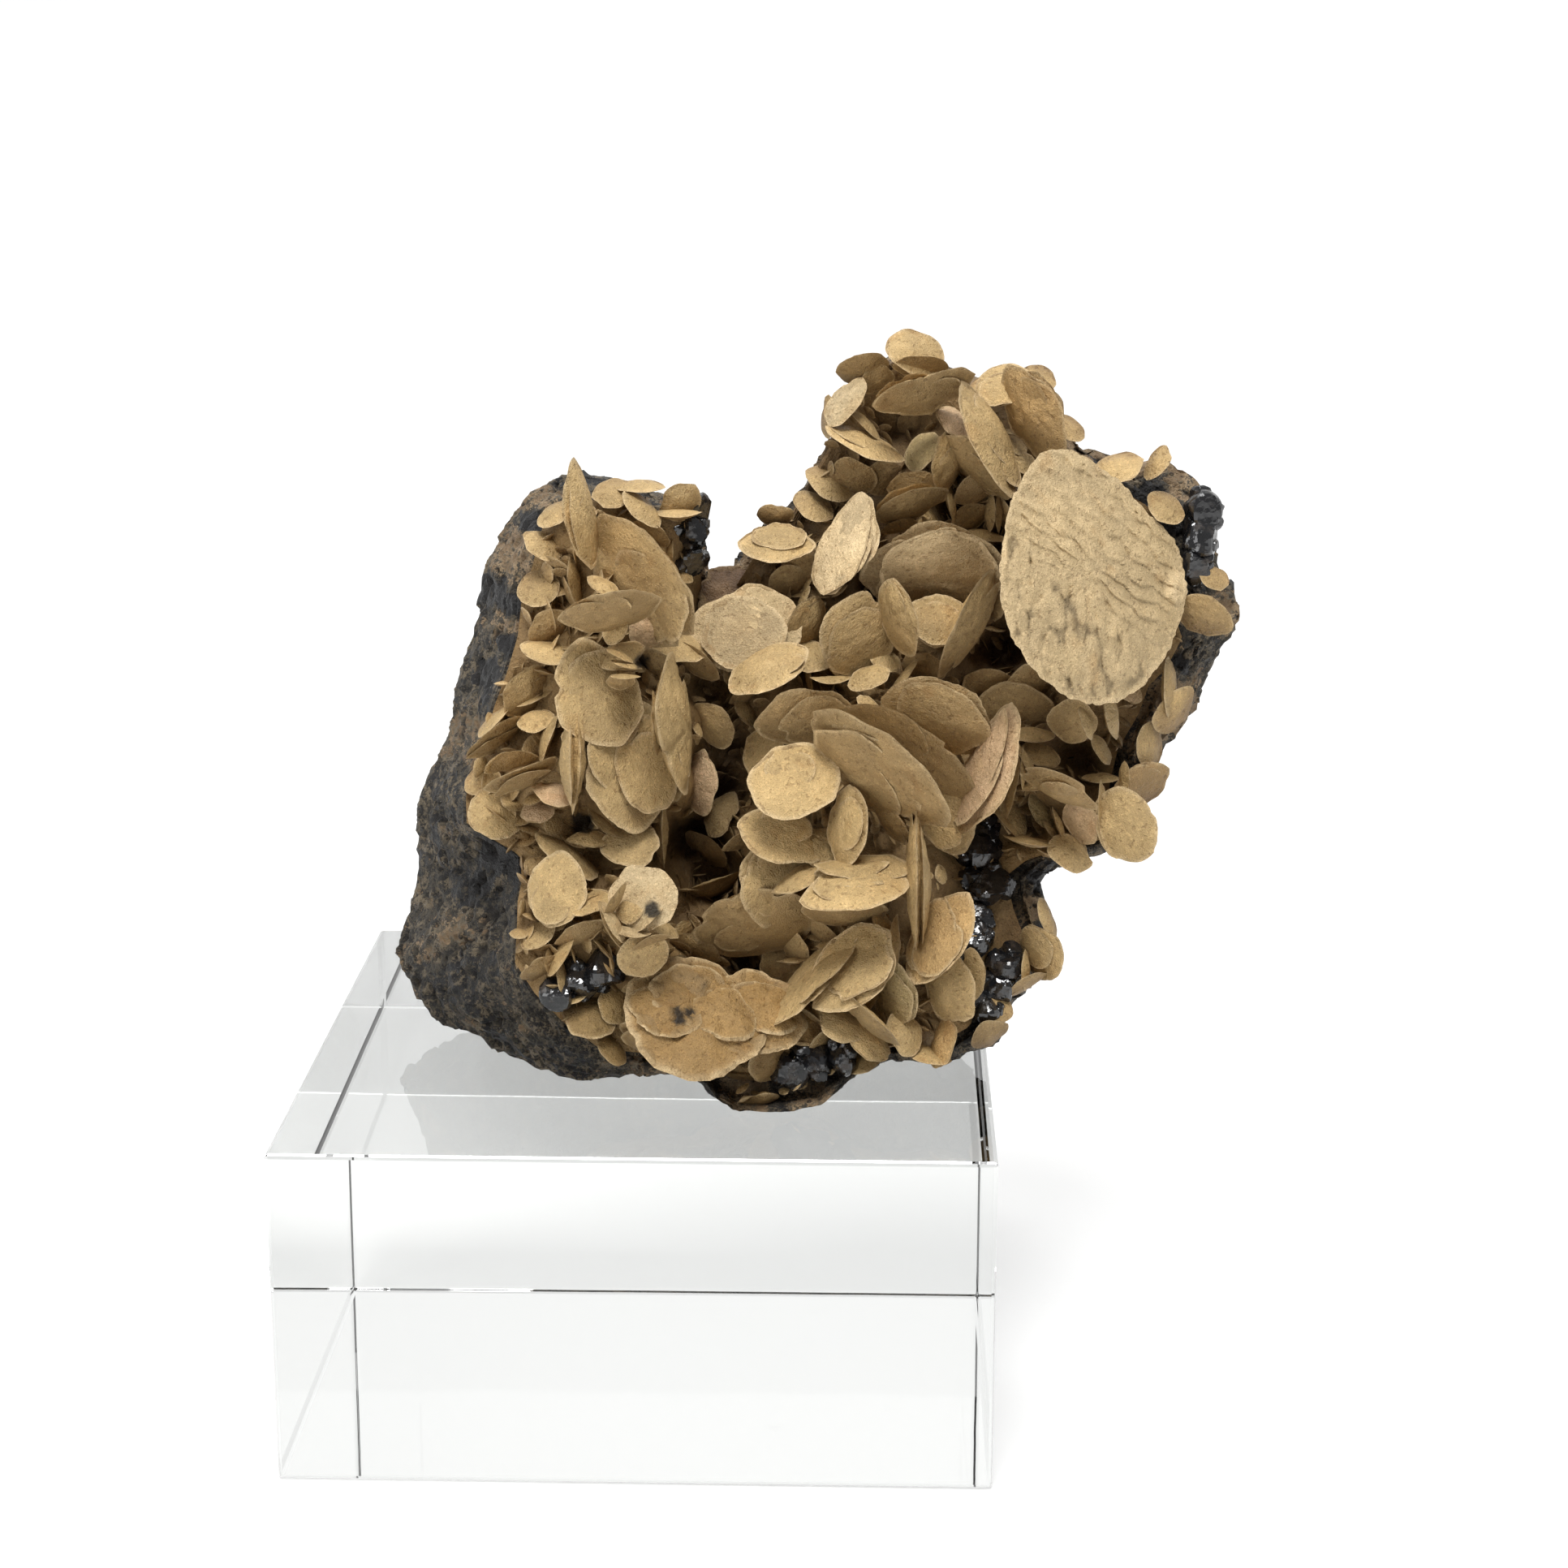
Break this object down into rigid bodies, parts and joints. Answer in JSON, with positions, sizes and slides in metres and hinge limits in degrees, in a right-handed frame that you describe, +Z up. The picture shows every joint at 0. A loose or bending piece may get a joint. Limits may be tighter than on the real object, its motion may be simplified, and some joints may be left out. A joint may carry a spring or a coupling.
{
  "type": "siderite mineral specimen on a display block",
  "caption": "Natural cluster of tan lens-shaped siderite crystals in a hollow of dark rock with black sphalerite, on a clear display block.",
  "frame": {"origin": "centre of the display block's underside", "axes": "+Z up, -Y towards the viewer of the crystals, +X to the viewer's right"},
  "size_m": [0.1173, 0.0866, 0.1331],
  "materials": {
    "acrylic": "polished, clear",
    "rock": "rough, dark grey-brown with tan patches",
    "siderite": "satin, tan to golden brown",
    "sphalerite": "glossy black facets"
  },
  "bodies": {
    "root": {"display_block": "acrylic", "matrix": "rock", "siderite_crystals": "siderite", "sphalerite_notch": "sphalerite", "sphalerite_group": "sphalerite", "sphalerite_low_right": "sphalerite", "sphalerite_rim": "sphalerite", "sphalerite_foot": "sphalerite", "sphalerite_left": "sphalerite"}
  },
  "joints": []
}
